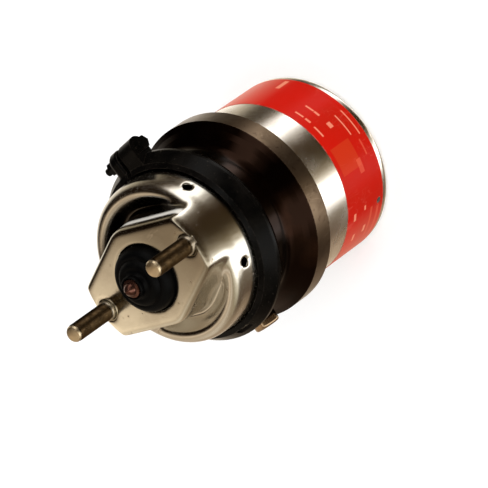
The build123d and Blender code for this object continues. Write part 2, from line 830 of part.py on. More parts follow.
# Power spring: a heavy coil with ends ground flat, between a steel seat ring and the piston
power_radius = inner_radius - 18.0
power_turns = 4.0
grind = 0.25 * spring_wire
power_bottom = rear_floor + seat_ring
power_top = piston_top - piston_plate
with BuildPart() as spring_seat:
    with BuildSketch(Plane.XY.offset(rear_floor)):
        Circle(power_radius + spring_wire / 2 + 3)
        Circle(power_radius - spring_wire / 2 - 3, mode=Mode.SUBTRACT)
    extrude(amount=seat_ring)
save(spring_seat, "spring_seat")

with BuildPart() as power_spring:
    power_start = power_bottom + spring_wire / 2 - grind
    power_rise = power_top - spring_wire / 2 + grind - power_start
    with BuildLine():
        thick_coil = Helix(
            pitch=power_rise / power_turns,
            height=power_rise,
            radius=power_radius,
            center=(0, 0, power_start),
        )
    with BuildSketch(Plane(origin=thick_coil @ 0, z_dir=thick_coil % 0)):
        RegularPolygon(spring_wire / 2, wire_sides)
    sweep(path=thick_coil, is_frenet=True)
    with BuildSketch(Plane.XY.offset(power_bottom)):
        Circle(power_radius + spring_wire)
    extrude(amount=power_top - power_bottom, mode=Mode.INTERSECT)
save(power_spring, "power_spring")
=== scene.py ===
# %% [markdown]
# A spring brake actuator for a disc brake, about 290 mm long. Its shape, its real size and its motion
# come ready made as a fixed frame of CAD nodes. This lesson gives every surface its finish, models the
# soft, coiled and threaded pieces again in detail, and sets up the photograph's camera and light.
# Everything is in metres, in the frame's own axes: +Z runs along the axis towards the two studs, and
# the rear rim stands on the floor at height zero.

# %% Load the frame
from math import pi, radians, sin

import bpy
from mathutils import Matrix, Vector


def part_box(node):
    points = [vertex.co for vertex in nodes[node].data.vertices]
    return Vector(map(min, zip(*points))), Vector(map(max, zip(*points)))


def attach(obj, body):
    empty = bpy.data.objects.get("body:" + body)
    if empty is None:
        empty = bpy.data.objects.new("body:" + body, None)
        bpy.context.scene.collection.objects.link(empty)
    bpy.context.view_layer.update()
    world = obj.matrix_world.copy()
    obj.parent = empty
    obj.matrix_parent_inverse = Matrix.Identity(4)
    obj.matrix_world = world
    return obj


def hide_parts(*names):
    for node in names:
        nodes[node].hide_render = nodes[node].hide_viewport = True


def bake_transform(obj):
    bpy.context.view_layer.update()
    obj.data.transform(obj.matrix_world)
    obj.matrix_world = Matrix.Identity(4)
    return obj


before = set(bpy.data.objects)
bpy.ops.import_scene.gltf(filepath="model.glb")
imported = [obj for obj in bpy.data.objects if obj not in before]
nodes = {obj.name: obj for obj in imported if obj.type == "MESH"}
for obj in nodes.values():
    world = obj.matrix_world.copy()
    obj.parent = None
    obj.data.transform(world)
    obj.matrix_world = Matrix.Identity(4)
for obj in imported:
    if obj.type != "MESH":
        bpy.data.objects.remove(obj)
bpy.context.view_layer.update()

mm = 0.001

# %% [markdown]
# The camera stands far off with a long lens, so the picture is nearly without perspective. Its place was
# found from the round edges of the rings and the studs' spacing. The picture's right and down are
# directions in the frame, and the camera's own axes are right, up and backwards.

# %% Camera
camera_place = Vector((2589.1, -125.8, 2815.1)) * mm
picture_right = Vector((0.5610, -0.6065, -0.5635)).normalized()
picture_down = Vector((-0.4519, -0.7946, 0.4054)).normalized()
view_direction = picture_right.cross(picture_down).normalized()
picture_down = view_direction.cross(picture_right)
focal_pixels = 4402.1
picture_pixels = 488

camera_data = bpy.data.cameras.new("camera")
camera_data.sensor_width = 36
camera_data.lens = focal_pixels / picture_pixels * camera_data.sensor_width
camera_data.clip_end = 20
camera = bpy.data.objects.new("camera", camera_data)
bpy.context.scene.collection.objects.link(camera)
camera.matrix_world = Matrix((
    (picture_right.x, -picture_down.x, -view_direction.x, camera_place.x),
    (picture_right.y, -picture_down.y, -view_direction.y, camera_place.y),
    (picture_right.z, -picture_down.z, -view_direction.z, camera_place.z),
    (0, 0, 0, 1),
))
bpy.context.scene.camera = camera
bpy.context.scene.view_settings.view_transform = "Standard"
print("lens", round(camera_data.lens, 1))

# %% [markdown]
# A pale floor stands under the part. It is one plane, larger than any view of it, with a plain matt
# material that glows a little, so that it comes out as white as the photograph's ground. Mirror-like
# metal would show it as one flat grey, so glossy rays don't see it and meet the studio's sky below it
# instead.

# %% Floor
floor_size = 30
floor_drop = 0.2 * mm
floor_white = (0.93, 0.93, 0.93, 1)
floor_glow = 0.14

bpy.ops.object.select_all(action="DESELECT")
bpy.ops.mesh.primitive_plane_add(size=floor_size, location=(0, 0, -floor_drop))
floor = bpy.context.object
floor.name = "floor"
floor_material = bpy.data.materials.new("pale floor")
floor_material.use_nodes = True
floor_shader = floor_material.node_tree.nodes["Principled BSDF"].inputs
floor_shader["Base Color"].default_value = floor_white
floor_shader["Roughness"].default_value = 0.9
floor_shader["Emission Color"].default_value = (1, 1, 1, 1)
floor_shader["Emission Strength"].default_value = floor_glow
floor.data.materials.append(floor_material)
floor.visible_glossy = False
print("floor", floor_size, "m wide")

# %% [markdown]
# The sky and the materials are built from a few kinds of node again and again, so small helpers make
# them. Most take either a plain number or another node's output. A mask is a number from 0 to 1 that
# says where on the piece something happens, and masks are multiplied to keep only what all of them hold.

# %% Node helpers
def wire(tree, value, socket):
    """Sets a socket to a number or colour, or links another node's output to it."""
    if isinstance(value, bpy.types.NodeSocket):
        tree.links.new(value, socket)
    else:
        socket.default_value = value


def calc(tree, operation, first, second=0.0):
    """One step of arithmetic on two values."""
    step = tree.nodes.new("ShaderNodeMath")
    step.operation = operation
    wire(tree, first, step.inputs[0])
    wire(tree, second, step.inputs[1])
    return step.outputs[0]


def all_of(tree, mask, *others):
    """One mask that is full only where all the masks are."""
    for other in others:
        mask = calc(tree, "MULTIPLY", mask, other)
    return mask


def stretch(tree, value, low, high, to_low=0.0, to_high=1.0):
    """Turns the range from low to high into another range, and holds it there."""
    step = tree.nodes.new("ShaderNodeMapRange")
    for socket, number in (("Value", value), ("From Min", low), ("From Max", high),
                           ("To Min", to_low), ("To Max", to_high)):
        wire(tree, number, step.inputs[socket])
    return step.outputs[0]


def blend_colours(tree, mask, first, second):
    """The first colour where the mask is 0, and the second where it is 1."""
    step = tree.nodes.new("ShaderNodeMix")
    step.data_type = "RGBA"
    wire(tree, mask, step.inputs["Factor"])
    wire(tree, first if isinstance(first, bpy.types.NodeSocket) else (*first, 1), step.inputs[6])
    wire(tree, second if isinstance(second, bpy.types.NodeSocket) else (*second, 1), step.inputs[7])
    return step.outputs[2]


def paint(tree, colour, over, mask, strength=1.0):
    """Another colour laid over the first where the mask is, as strongly as given."""
    return blend_colours(tree, calc(tree, "MULTIPLY", mask, strength), colour, over)


# %% [markdown]
# Bare metal has no colour of its own: it shows the room. The room in the photograph was warm and dim
# with two bright white strips, and above the horizon one whole side of it was dark. So the sky holds two
# colour ramps over the compass angle, one below the horizon and one above it. Each is a row of angles in
# degrees, with the room's colour there. Some colours go above 1, so the ramps hold each as a share of the
# room's strength. A lamp for each strip would do as well, but two ramps hold the strips and the dark sides
# in one place.

# %% Colours of the room
low_room = (
    (-180, (1.00, 0.88, 0.72)),
    (-150, (0.60, 0.46, 0.32)),
    (-118, (0.45, 0.33, 0.22)),
    (-98, (0.15, 0.10, 0.065)),
    (-70, (0.25, 0.20, 0.14)),
    (-60, (1.60, 1.50, 1.35)),
    (-53, (3.20, 3.20, 3.15)),
    (-36, (3.00, 2.95, 2.80)),
    (-29, (0.90, 0.78, 0.58)),
    (-19, (0.24, 0.18, 0.10)),
    (-6, (0.055, 0.035, 0.015)),
    (18, (0.045, 0.025, 0.010)),
    (31, (0.16, 0.12, 0.08)),
    (42, (1.00, 0.92, 0.82)),
    (50, (3.00, 2.95, 2.80)),
    (61, (2.60, 2.50, 2.40)),
    (70, (0.35, 0.28, 0.20)),
    (82, (0.04, 0.025, 0.012)),
    (100, (0.09, 0.07, 0.045)),
    (120, (0.62, 0.54, 0.40)),
    (145, (1.40, 1.30, 1.15)),
    (180, (1.00, 0.88, 0.72)),
)
high_room = (
    (-180, (1.10, 0.89, 0.65)),
    (-166, (0.72, 0.57, 0.41)),
    (-140, (0.95, 0.82, 0.64)),
    (-119, (0.55, 0.43, 0.30)),
    (-100, (0.50, 0.42, 0.28)),
    (-75, (1.10, 1.00, 0.80)),
    (-60, (2.80, 2.75, 2.60)),
    (-36, (2.60, 2.55, 2.40)),
    (-22, (0.60, 0.52, 0.36)),
    (-8, (0.08, 0.05, 0.025)),
    (22, (0.06, 0.035, 0.015)),
    (40, (0.80, 0.74, 0.66)),
    (50, (2.80, 2.75, 2.60)),
    (66, (2.40, 2.30, 2.20)),
    (76, (0.20, 0.15, 0.10)),
    (88, (0.02, 0.012, 0.006)),
    (162, (0.015, 0.008, 0.004)),
    (172, (0.40, 0.30, 0.21)),
    (180, (1.10, 0.89, 0.65)),
)
room_strength = 4.0
fade_from = -8
fade_to = 14
print("sky stops", len(low_room), "below and", len(high_room), "above")

# %% [markdown]
# A ray's compass angle picks a colour from both ramps, and its height above the horizon fades from one
# to the other. Only glossy rays see this room. All else, matt surfaces and the camera itself, sees plain
# white. The sky isn't sampled as a lamp, because a lamp sample doesn't know which kind of ray asked for
# it.

# %% Studio sky
world = bpy.data.worlds.new("studio")
bpy.context.scene.world = world
world.use_nodes = True
world.cycles.sampling_method = "NONE"
sky = world.node_tree
white_sky = sky.nodes["Background"]
white_sky.inputs["Color"].default_value = (1, 1, 1, 1)


def room_ramp(room, share):
    """A ramp over a share of the full circle, from pairs of an angle in degrees and a colour."""
    ramp = sky.nodes.new("ShaderNodeValToRGB")
    stops = ramp.color_ramp.elements
    for number, (angle, colour) in enumerate(room):
        stop = stops[number] if number < 2 else stops.new(1.0)
        stop.position = (angle + 180) / 360
        stop.color = (*[channel / room_strength for channel in colour], 1)
    sky.links.new(share, ramp.inputs[0])
    return ramp.outputs["Color"]


direction = sky.nodes.new("ShaderNodeSeparateXYZ")
sky.links.new(sky.nodes.new("ShaderNodeTexCoord").outputs["Generated"], direction.inputs[0])
across, along, upward = direction.outputs
share = stretch(sky, calc(sky, "ARCTAN2", along, across), -pi, pi)
above = stretch(sky, upward, sin(radians(fade_from)), sin(radians(fade_to)))
room_colour = blend_colours(sky, above, room_ramp(low_room, share), room_ramp(high_room, share))

room_sky = sky.nodes.new("ShaderNodeBackground")
room_sky.inputs["Strength"].default_value = room_strength
sky.links.new(room_colour, room_sky.inputs["Color"])
ray_kind = sky.nodes.new("ShaderNodeLightPath")
choice = sky.nodes.new("ShaderNodeMixShader")
sky.links.new(ray_kind.outputs["Is Glossy Ray"], choice.inputs[0])
sky.links.new(white_sky.outputs[0], choice.inputs[1])
sky.links.new(room_sky.outputs[0], choice.inputs[2])
sky.links.new(choice.outputs[0], sky.nodes["World Output"].inputs["Surface"])
print("sky nodes", len(sky.nodes))

# %% [markdown]
# One soft lamp beside the camera adds a little shape to the matt surfaces. Its shadow falls behind the
# part, where the picture doesn't show it, and it leaves no mirror image of itself in the metal.

# %% Soft lamp
lamp_place = Vector((1.9, 0.5, 2.1))
lamp_aim = Vector((0, 0, 0.15))
lamp_data = bpy.data.lights.new("soft lamp", "AREA")
lamp_data.size = 1.4
lamp_data.energy = 26
lamp = bpy.data.objects.new("soft lamp", lamp_data)
bpy.context.scene.collection.objects.link(lamp)
lamp.location = lamp_place
lamp.rotation_euler = (lamp_aim - lamp_place).to_track_quat("-Z", "Y").to_euler()
lamp.visible_glossy = False
print("lamp", round((lamp_aim - lamp_place).length, 2), "m away")

# %% [markdown]
# Patterns are noises over the point on the piece, in metres, so they keep their size on every piece. A
# place may be stretched first, so that the noise on it runs along one direction.

# %% Pattern helpers
def own_place(tree):
    """The point on the piece."""
    return tree.nodes.new("ShaderNodeTexCoord").outputs["Object"]


def own_numbers(tree):
    """The point's three numbers, by their letters."""
    numbers = tree.nodes.new("ShaderNodeSeparateXYZ")
    tree.links.new(own_place(tree), numbers.inputs[0])
    return numbers.outputs


def compass_degrees(tree):
    """The point's angle round the axis."""
    numbers = own_numbers(tree)
    return calc(tree, "MULTIPLY", calc(tree, "ARCTAN2", numbers["Y"], numbers["X"]), 180 / pi)


def scaled(tree, place, factors):
    """A place stretched by three factors."""
    step = tree.nodes.new("ShaderNodeVectorMath")
    step.operation = "MULTIPLY"
    tree.links.new(place, step.inputs[0])
    step.inputs[1].default_value = factors
    return step.outputs[0]


def noise(tree, place, scale, detail=2.0):
    """A cloudy noise from 0 to 1 over a place."""
    clouds = tree.nodes.new("ShaderNodeTexNoise")
    wire(tree, place, clouds.inputs["Vector"])
    wire(tree, scale, clouds.inputs["Scale"])
    clouds.inputs["Detail"].default_value = detail
    return clouds.outputs["Fac"]


# %% [markdown]
# Effects that several finishes share are node groups with named inputs. Each puts out one mask or
# height, and the material decides what to do with it. The first is a stain: soft clouds of noise, cut
# off between two levels, as old plating drifts in colour.

# %% Group: stain
def new_group(name, inputs, output):
    """An empty group with number inputs, and one number as its output."""
    group = bpy.data.node_groups.new(name, "ShaderNodeTree")
    for label, start in inputs.items():
        socket = group.interface.new_socket(label, in_out="INPUT", socket_type="NodeSocketFloat")
        socket.default_value = start
    group.interface.new_socket(output, in_out="OUTPUT", socket_type="NodeSocketFloat")
    print("group", name, "with", ", ".join(inputs))
    return group, group.nodes.new("NodeGroupInput").outputs, group.nodes.new("NodeGroupOutput").inputs


stain, given, result = new_group("stain", {"Scale": 40, "From": 0.45, "To": 0.65}, "Mask")
clouds = noise(stain, own_place(stain), given["Scale"], 5.0)
stain.links.new(stretch(stain, clouds, given["From"], given["To"]), result["Mask"])

# %% [markdown]
# Edge wear rubs the finish off at corners. A Bevel node gives the normal that a rounded corner would
# have, and the less it is like the real normal, the nearer is the edge. Noise breaks the line up.

# %% Group: edge wear
likeness_at_edge = 0.93
likeness_beside = 0.995

edge_wear, given, result = new_group("edge wear", {"Width": 0.6 * mm, "Breakup": 400}, "Mask")
round_corner = edge_wear.nodes.new("ShaderNodeBevel")
round_corner.samples = 4
edge_wear.links.new(given["Width"], round_corner.inputs["Radius"])
true_normal = edge_wear.nodes.new("ShaderNodeNewGeometry")
likeness = edge_wear.nodes.new("ShaderNodeVectorMath")
likeness.operation = "DOT_PRODUCT"
edge_wear.links.new(round_corner.outputs[0], likeness.inputs[0])
edge_wear.links.new(true_normal.outputs["Normal"], likeness.inputs[1])
rubbed = stretch(edge_wear, likeness.outputs["Value"], likeness_beside, likeness_at_edge)
clouds = noise(edge_wear, own_place(edge_wear), given["Breakup"], 3.0)
patchy = stretch(edge_wear, clouds, 0.40, 0.58)
edge_wear.links.new(all_of(edge_wear, rubbed, patchy), result["Mask"])

# %% [markdown]
# Scratches are the thin contour lines of a stretched noise: where it passes one half, a line is drawn.
# Two noises give two directions, and a third keeps the lines to a few patches, as handling does.

# %% Group: scratches
scratch_directions = ((1.0, 0.9, 0.12), (0.15, 1.0, 0.8))
patch_scale = 30.0

scratches, given, result = new_group("scratches", {"Scale": 60, "Width": 0.006}, "Mask")
place = own_place(scratches)
lines = []
for factors in scratch_directions:
    level = noise(scratches, scaled(scratches, place, factors), given["Scale"], 1.0)
    off_half = calc(scratches, "ABSOLUTE", calc(scratches, "SUBTRACT", level, 0.5))
    lines.append(stretch(scratches, calc(scratches, "DIVIDE", off_half, given["Width"]), 1.0, 0.3))
patches = stretch(scratches, noise(scratches, place, patch_scale, 2.0), 0.48, 0.6)
both = calc(scratches, "MAXIMUM", *lines)
scratches.links.new(all_of(scratches, both, patches), result["Mask"])

# %% [markdown]
# This group paints shade into a recess. The Ambient Occlusion node measures how open a point
# is to its surroundings, within a reach, so the painted shade's mask is 1 in a tight inner corner and 0 in
# the open.

# %% Group: painted recess shade
painted_recess_shade, given, result = new_group("painted recess shade", {"Reach": 14 * mm}, "Mask")
# Painted shade: the darker, the less open the point is.
openness = painted_recess_shade.nodes.new("ShaderNodeAmbientOcclusion")
openness.samples = 8
painted_recess_shade.links.new(given["Reach"], openness.inputs["Distance"])
painted_recess_shade.links.new(stretch(painted_recess_shade, openness.outputs["AO"], 0.93, 0.70), result["Mask"])

# %% [markdown]
# A lathe leaves fine rings. They are a noise that changes only with the height along the axis. Its
# fineness is the number of its waves in a metre.

# %% Group: turned rings
turned_rings, given, result = new_group("turned rings", {"Fineness": 2500}, "Height")
rings = turned_rings.nodes.new("ShaderNodeTexNoise")
rings.noise_dimensions = "1D"
rings.inputs["Scale"].default_value = 1
rings.inputs["Detail"].default_value = 3
waves = calc(turned_rings, "MULTIPLY", own_numbers(turned_rings)["Z"], given["Fineness"])
turned_rings.links.new(waves, rings.inputs["W"])
turned_rings.links.new(rings.outputs["Fac"], result["Height"])

# %% [markdown]
# A sand casting and a rubber moulding have a fine pebbled skin, which is noise on two scales.

# %% Group: pebbled skin
coarse_share = 0.3

pebbled_skin, given, result = new_group("pebbled skin", {"Scale": 900}, "Height")
place = own_place(pebbled_skin)
fine = noise(pebbled_skin, place, given["Scale"], 2.0)
coarse = noise(pebbled_skin, place, calc(pebbled_skin, "MULTIPLY", given["Scale"], coarse_share), 1.0)
pebbled_skin.links.new(calc(pebbled_skin, "ADD", fine, coarse), result["Height"])

# %% [markdown]
# Each finish below starts from one helper that makes the material with its shader's plain numbers. The
# second helper places a group in a material with its own values, the third presses a height into the
# surface as a bump, and the last puts the material on the CAD nodes that are shown as they are.

# %% Material helpers
def new_material(name, roughness, metallic=0.0):
    """A material with its shader, its node tree and two plain values."""
    material = bpy.data.materials.new(name)
    material.use_nodes = True
    shader = material.node_tree.nodes["Principled BSDF"]
    shader.inputs["Roughness"].default_value = roughness
    shader.inputs["Metallic"].default_value = metallic
    return material, material.node_tree, shader.inputs


def use(tree, group, **values):
    """A group placed in a material, with some of its inputs set. Gives the group's one output."""
    effect = tree.nodes.new("ShaderNodeGroup")
    effect.node_tree = group
    for label, value in values.items():
        effect.inputs[label.replace("_", " ")].default_value = value
    return effect.outputs[0]


def press(tree, shader, height, strength, depth):
    """A bump, with its depth in metres."""
    bump = tree.nodes.new("ShaderNodeBump")
    bump.inputs["Strength"].default_value = strength
    bump.inputs["Distance"].default_value = depth
    tree.links.new(height, bump.inputs["Height"])
    tree.links.new(bump.outputs[0], shader["Normal"])


def give(material, *names):
    """Puts a material on CAD nodes."""
    for name in names:
        slots = nodes[name].data.materials
        slots.clear()
        slots.append(material)
    print(material.name, "on", ", ".join(names))


# %% [markdown]
# The front housing is pressed steel with champagne zinc plating. It is a hazy mirror: stains make it
# browner and duller, and its corners are rubbed bright. Along the pad a painted light runs from pale
# straw at the left stud to shaded bronze at the right one, and on the bowl the plating is greyer. One
# colour alone would look like plastic, so the painted light and each kind of wear are masks that lay their
# own colours over the last.

# %% Finish: champagne plating
pad_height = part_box("front_housing")[1].z
# The first two colours are the ends of a painted light across the pad: pale straw where it is lit, bronze
# where it is shaded.
painted_shade_bronze = (0.24, 0.215, 0.17)
painted_light_straw = (0.93, 0.92, 0.82)
bowl_tone = (0.56, 0.54, 0.49)
stain_brown = (0.40, 0.34, 0.26)
spot_brown = (0.24, 0.17, 0.10)
scratch_bright = (0.74, 0.70, 0.63)
corner_bright = (0.78, 0.74, 0.66)
painted_light_across, painted_light_along = (-0.9, -0.45)
painted_shade_until = -45 * mm
painted_light_from = 70 * mm

plating, tree, shader = new_material("champagne plating", 0.2, 1.0)
numbers = own_numbers(tree)
# Painted light across the pad: a share that grows towards the left stud.
painted_light_drift = calc(tree, "ADD", calc(tree, "MULTIPLY", numbers["X"], painted_light_across),
             calc(tree, "MULTIPLY", numbers["Y"], painted_light_along))
pale = stretch(tree, painted_light_drift, painted_shade_until, painted_light_from)
on_bowl = stretch(tree, numbers["Z"], pad_height - 3 * mm, pad_height - 9 * mm)
cloudy = use(tree, stain, Scale=22, From=0.42, To=0.68)
spots = use(tree, stain, Scale=160, From=0.66, To=0.72)
worn = use(tree, edge_wear, Width=1.2 * mm, Breakup=300)
marks = use(tree, scratches, Scale=130, Width=0.008)
# Painted light: pale straw towards the left stud, shaded bronze towards the right.
colour = blend_colours(tree, pale, painted_shade_bronze, painted_light_straw)
colour = paint(tree, colour, bowl_tone, on_bowl)
colour = paint(tree, colour, stain_brown, cloudy, 0.25)
colour = paint(tree, colour, spot_brown, spots, 0.6)
colour = paint(tree, colour, scratch_bright, marks, 0.2)
colour = paint(tree, colour, corner_bright, worn, 0.7)
haze = calc(tree, "ADD", stretch(tree, cloudy, 0, 1, 0.16, 0.25), calc(tree, "MULTIPLY", spots, 0.15))
wire(tree, haze, shader["Roughness"])
press(tree, shader, use(tree, pebbled_skin, Scale=700), 0.12, 0.1 * mm)
give(plating, "front_housing")

# %% [markdown]
# In the photograph two places on the housing's upper side can't be made by a sky alone: the pocket beside
# the pad is black with shade, and a strip of the pad's wall in it is pale with a highlight. Both are
# painted in, a painted shade and a painted highlight, each by masks from the point's own numbers with soft
# ends. Each pair below is a place where a mask is still empty and one where it is full. The strip grows
# stronger along its length. The strip lowers Metallic too, so the painted highlight shows as a pale matt
# colour.

# %% Painted shade and highlight on the housing
# Colours and places of the painted shade in the pocket and the painted highlight on the pad's wall.
painted_shade_black = (0.012, 0.007, 0.004)
painted_highlight_white = (0.93, 0.88, 0.80)
painted_shade_side = (4 * mm, 16 * mm)
painted_shade_top = (pad_height - 5 * mm, pad_height - 9 * mm)
strip_foot = (pad_height - 19 * mm, pad_height - 15 * mm)
strip_top = (pad_height - 8 * mm, pad_height - 11 * mm)
strip_side = (20 * mm, 26 * mm)
strip_length = (-45 * mm, -5 * mm)

# Painted shade: the pocket beside the pad is darkened towards black.
painted_shade_mask = all_of(
    tree,
    use(tree, painted_recess_shade, Reach=20 * mm),
    stretch(tree, numbers["Y"], *painted_shade_side),
    stretch(tree, numbers["Z"], *painted_shade_top),
)
# Painted highlight: a pale strip on the pad's wall in the pocket.
painted_highlight_strip = all_of(
    tree,
    stretch(tree, numbers["Z"], *strip_foot),
    stretch(tree, numbers["Z"], *strip_top),
    stretch(tree, numbers["Y"], *strip_side),
    stretch(tree, numbers["X"], *strip_length, 0.3, 0.9),
)
colour = paint(tree, colour, painted_shade_black, painted_shade_mask, 0.95)
colour = paint(tree, colour, painted_highlight_white, painted_highlight_strip)
wire(tree, colour, shader["Base Color"])
wire(tree, stretch(tree, painted_highlight_strip, 0, 1, 1, 0.1), shader["Metallic"])
print("champagne plating", len(tree.nodes), "nodes")

# %% [markdown]
# The rear cylinder is turned aluminium, bright and clean, with fine rings from the lathe that draw the
# reflections out along the axis. A few dull patches tell of handling. The rings are too fine to model,
# so they are a bump.

# %% Finish: turned aluminium
fresh_aluminium = (0.76, 0.73, 0.69)
dull_aluminium = (0.56, 0.50, 0.43)
rubbed_aluminium = (0.90, 0.89, 0.87)

turned, tree, shader = new_material("turned aluminium", 0.22, 1.0)
dull = use(tree, stain, Scale=30, From=0.5, To=0.72)
worn = use(tree, edge_wear, Width=0.8 * mm, Breakup=250)
colour = paint(tree, fresh_aluminium, dull_aluminium, dull, 0.5)
colour = paint(tree, colour, rubbed_aluminium, worn, 0.5)
wire(tree, colour, shader["Base Color"])
wire(tree, stretch(tree, dull, 0, 1, 0.19, 0.32), shader["Roughness"])
press(tree, shader, use(tree, turned_rings, Fineness=2600), 0.25, 0.06 * mm)
give(turned, "rear_cylinder", "spring_piston")

# %% [markdown]
# The centre housing is a brown painted casting. Its waist and slope are nearly black and glossy, with
# coppery reflections, so the paint is treated as a very dark metal. The ring's outer face has been
# rubbed to a scratched brown-grey, and the ends of the port bosses are bare and paler. The two places
# could be faces with materials of their own, but masks from the distance to the axis and from the height
# keep the whole casting one material.

# %% Places on the casting
ring_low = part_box("centre_housing")[0].z
ring_face_radius = 90.5 * mm
ring_face_top = ring_low + 20.5 * mm
boss_height = ring_low + 25 * mm
boss_face_radius = 86 * mm

casting, tree, shader = new_material("brown casting", 0.3, 0.95)
numbers = own_numbers(tree)
flat_place = tree.nodes.new("ShaderNodeCombineXYZ")
tree.links.new(numbers["X"], flat_place.inputs["X"])
tree.links.new(numbers["Y"], flat_place.inputs["Y"])
length = tree.nodes.new("ShaderNodeVectorMath")
length.operation = "LENGTH"
tree.links.new(flat_place.outputs[0], length.inputs[0])
distance = length.outputs["Value"]
on_ring = all_of(
    tree,
    calc(tree, "GREATER_THAN", distance, ring_face_radius),
    calc(tree, "LESS_THAN", numbers["Z"], ring_face_top),
)
on_boss = all_of(
    tree,
    stretch(tree, distance, boss_face_radius, boss_face_radius + 1.5 * mm),
    calc(tree, "GREATER_THAN", numbers["Z"], boss_height),
)
print("ring face up to", round(ring_face_top / mm, 1), "mm, bosses from", round(boss_height / mm, 1), "mm")

# %% [markdown]
# The paint and the rubbed face are two sets of colours, and the masks choose between them. The ring's
# face is also duller, and shows more of the casting's pebbled skin than the glossy paint does.

# %% Finish: brown casting
paint_dark = (0.0075, 0.0028, 0.0012)
paint_rusty = (0.016, 0.0062, 0.0030)
face_grey = (0.115, 0.079, 0.049)
face_rusty = (0.062, 0.038, 0.021)
face_scratch = (0.22, 0.16, 0.11)
face_chip = (0.06, 0.035, 0.02)
bare_boss = (0.30, 0.215, 0.14)
corner_brown = (0.20, 0.13, 0.08)

rust = use(tree, stain, Scale=35, From=0.45, To=0.7)
chipped = use(tree, stain, Scale=220, From=0.6, To=0.66)
marks = use(tree, scratches, Scale=180, Width=0.012)
worn = use(tree, edge_wear, Width=0.9 * mm, Breakup=350)
dark_paint = blend_colours(tree, rust, paint_dark, paint_rusty)
rubbed_face = blend_colours(tree, rust, face_grey, face_rusty)
rubbed_face = paint(tree, rubbed_face, face_scratch, marks, 0.4)
rubbed_face = paint(tree, rubbed_face, face_chip, chipped, 0.7)
colour = blend_colours(tree, on_ring, dark_paint, rubbed_face)
colour = paint(tree, colour, bare_boss, on_boss)
colour = paint(tree, colour, corner_brown, worn, 0.25)
dullness = calc(tree, "ADD", stretch(tree, rust, 0, 1, 0.09, 0.17), calc(tree, "MULTIPLY", on_ring, 0.2))
skin = calc(tree, "MULTIPLY", use(tree, pebbled_skin, Scale=500), stretch(tree, on_ring, 0, 1, 0.15, 1))
wire(tree, colour, shader["Base Color"])
wire(tree, dullness, shader["Roughness"])
press(tree, shader, skin, 0.25, 0.1 * mm)
give(casting, "centre_housing")

# %% [markdown]
# The clamp band is steel under black gloss paint. Black shows only what it mirrors, so the paint is
# smooth, a little smeared, and chipped to brown metal at some edges. Its bolt, nut and washer share it.

# %% Finish: black paint
paint_black = (0.0012, 0.0011, 0.0010)
smear_black = (0.0035, 0.0028, 0.0022)
bare_brown = (0.22, 0.17, 0.13)

black_paint, tree, shader = new_material("black paint", 0.22)
shader["Specular IOR Level"].default_value = 0.045
smears = use(tree, stain, Scale=60, From=0.4, To=0.7)
chips = use(tree, stain, Scale=330, From=0.68, To=0.70)
worn = use(tree, edge_wear, Width=0.7 * mm, Breakup=260)
bare = calc(tree, "MAXIMUM", calc(tree, "MULTIPLY", worn, 0.12), calc(tree, "MULTIPLY", chips, 0.06))
colour = blend_colours(tree, smears, paint_black, smear_black)
colour = blend_colours(tree, bare, colour, bare_brown)
wire(tree, colour, shader["Base Color"])
wire(tree, stretch(tree, smears, 0, 1, 0.16, 0.34), shader["Roughness"])
press(tree, shader, use(tree, pebbled_skin, Scale=350), 0.04, 0.1 * mm)
give(black_paint, "clamp_band", "clamp_bolt", "clamp_nut", "clamp_washer")

# %% [markdown]
# The label is a thin red foil round the cylinder, with plain fields of colour on it: a few pale dashes,
# two thin lines, a brownish square and some pale dots. A picture on the foil could hold them, but a few
# numbers do: each field is a span of compass angle and a span of height. A group turns the point into
# those two numbers and gives 1 inside the field.

# %% Group: field on the foil
field, given, result = new_group(
    "field", {"Angle": 0, "Height": 0, "Half angle": 1, "Half height": 1}, "Mask")
height = calc(field, "DIVIDE", own_numbers(field)["Z"], mm)
off_angle = calc(field, "ABSOLUTE", calc(field, "SUBTRACT", compass_degrees(field), given["Angle"]))
off_height = calc(field, "ABSOLUTE", calc(field, "SUBTRACT", height, given["Height"]))
inside_angle = calc(field, "LESS_THAN", off_angle, given["Half angle"])
inside_height = calc(field, "LESS_THAN", off_height, given["Half height"])
field.links.new(all_of(field, inside_angle, inside_height), result["Mask"])

# %% [markdown]
# Each row below is one field: its middle as an angle in degrees and a height in millimetres, and then
# half its width and half its height in the same units. The places follow the photograph.

# %% Fields on the foil
def place_field(tree, angle, height, half_angle, half_height):
    """One field group with its two spans."""
    return use(tree, field, Angle=angle, Height=height, Half_angle=half_angle, Half_height=half_height)


pale_fields = (
    (53, 22.5, 1.5, 8),
    (24.5, 41, 3, 1),
    (19, 41, 2, 1.25),
    (25, 55.5, 3, 1),
    (18.5, 55.5, 2, 1.25),
    (9, 56.5, 4, 1),
    (8.5, 40.5, 2, 2.5),
    (4, 27.5, 7.5, 0.75),
    (3, 17.5, 9, 0.75),
    (-50.5, 54.5, 2.5, 1.75),
    (-64.5, 35.5, 2.5, 1.75),
    (-66.5, 50.5, 2.5, 1.5),
    (-48.5, 39, 1.5, 1.25),
)
faint_fields = (
    (-22, 35, 4.5, 3),
    (-62, 28.5, 11, 1.5),
    (-64, 18.5, 11, 1.75),
    (-64, 11.5, 9, 1.25),
    (-13.5, 22, 5, 1),
)
square_field = (-13, 47, 9, 13.5)
print("fields", len(pale_fields), "pale,", len(faint_fields), "faint and a square")

# %% [markdown]
# The red is deep and a little faded in clouds, and towards both ends of the foil a painted sheen makes it
# paler. The foil has hardly any shine of its own, but a thin clear coat gives it a soft gloss. The fields
# are laid over the red one after another, the faint ones first.

# %% Finish: red foil
deep_red = (0.50, 0.006, 0.0008)
faded_red = (0.44, 0.010, 0.002)
